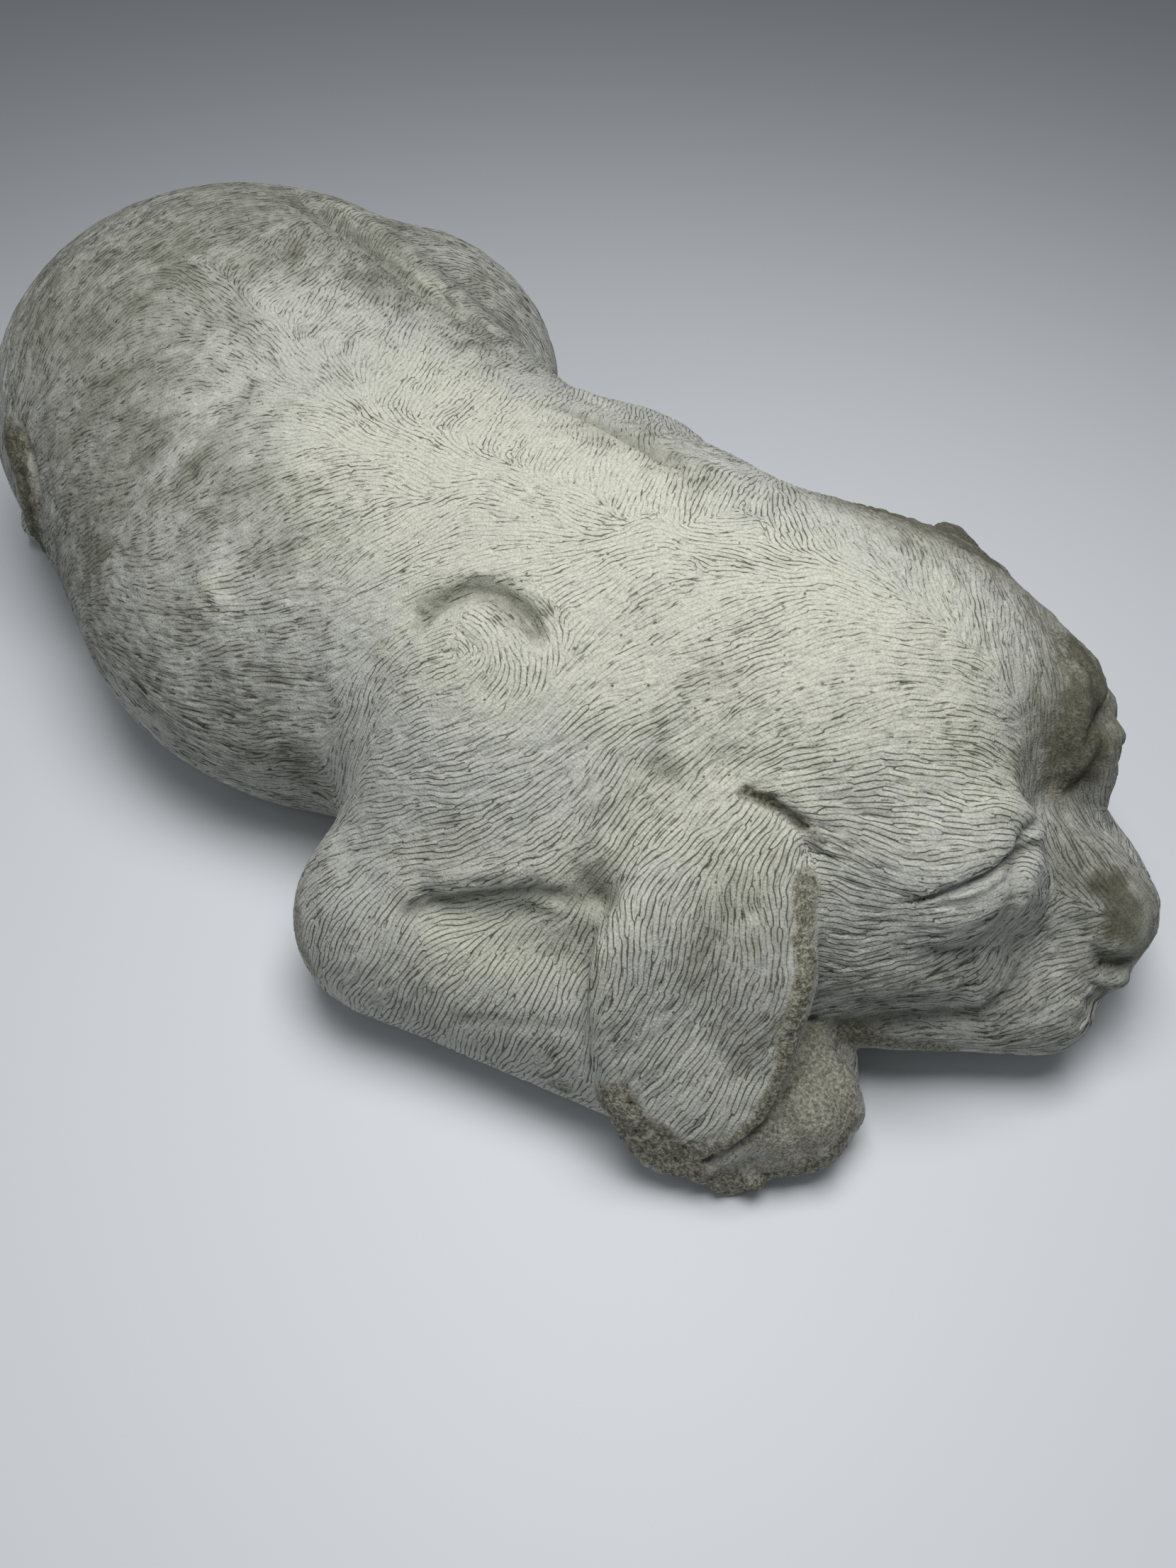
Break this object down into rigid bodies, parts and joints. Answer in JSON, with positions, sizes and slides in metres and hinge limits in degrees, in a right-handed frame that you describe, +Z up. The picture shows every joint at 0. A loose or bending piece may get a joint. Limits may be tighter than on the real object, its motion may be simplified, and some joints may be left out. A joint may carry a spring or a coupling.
{
  "type": "sleeping puppy statue",
  "caption": "Cast concrete garden statue of a puppy asleep on its belly, head between its paws, with carved fur, closed eyes and draped ears, on a flat underside.",
  "frame": {"origin": "centre of the bounding box on the ground plane, under the chest", "axes": "+X towards the nose along the body, +Y to the puppy's left, +Z up from the flat underside"},
  "size_m": [0.3556, 0.2092, 0.098],
  "materials": {
    "concrete": "matt weathered cast concrete, pale on the raised fur, grey and olive in the hollows"
  },
  "bodies": {
    "root": {"puppy_statue": "concrete"}
  },
  "joints": []
}
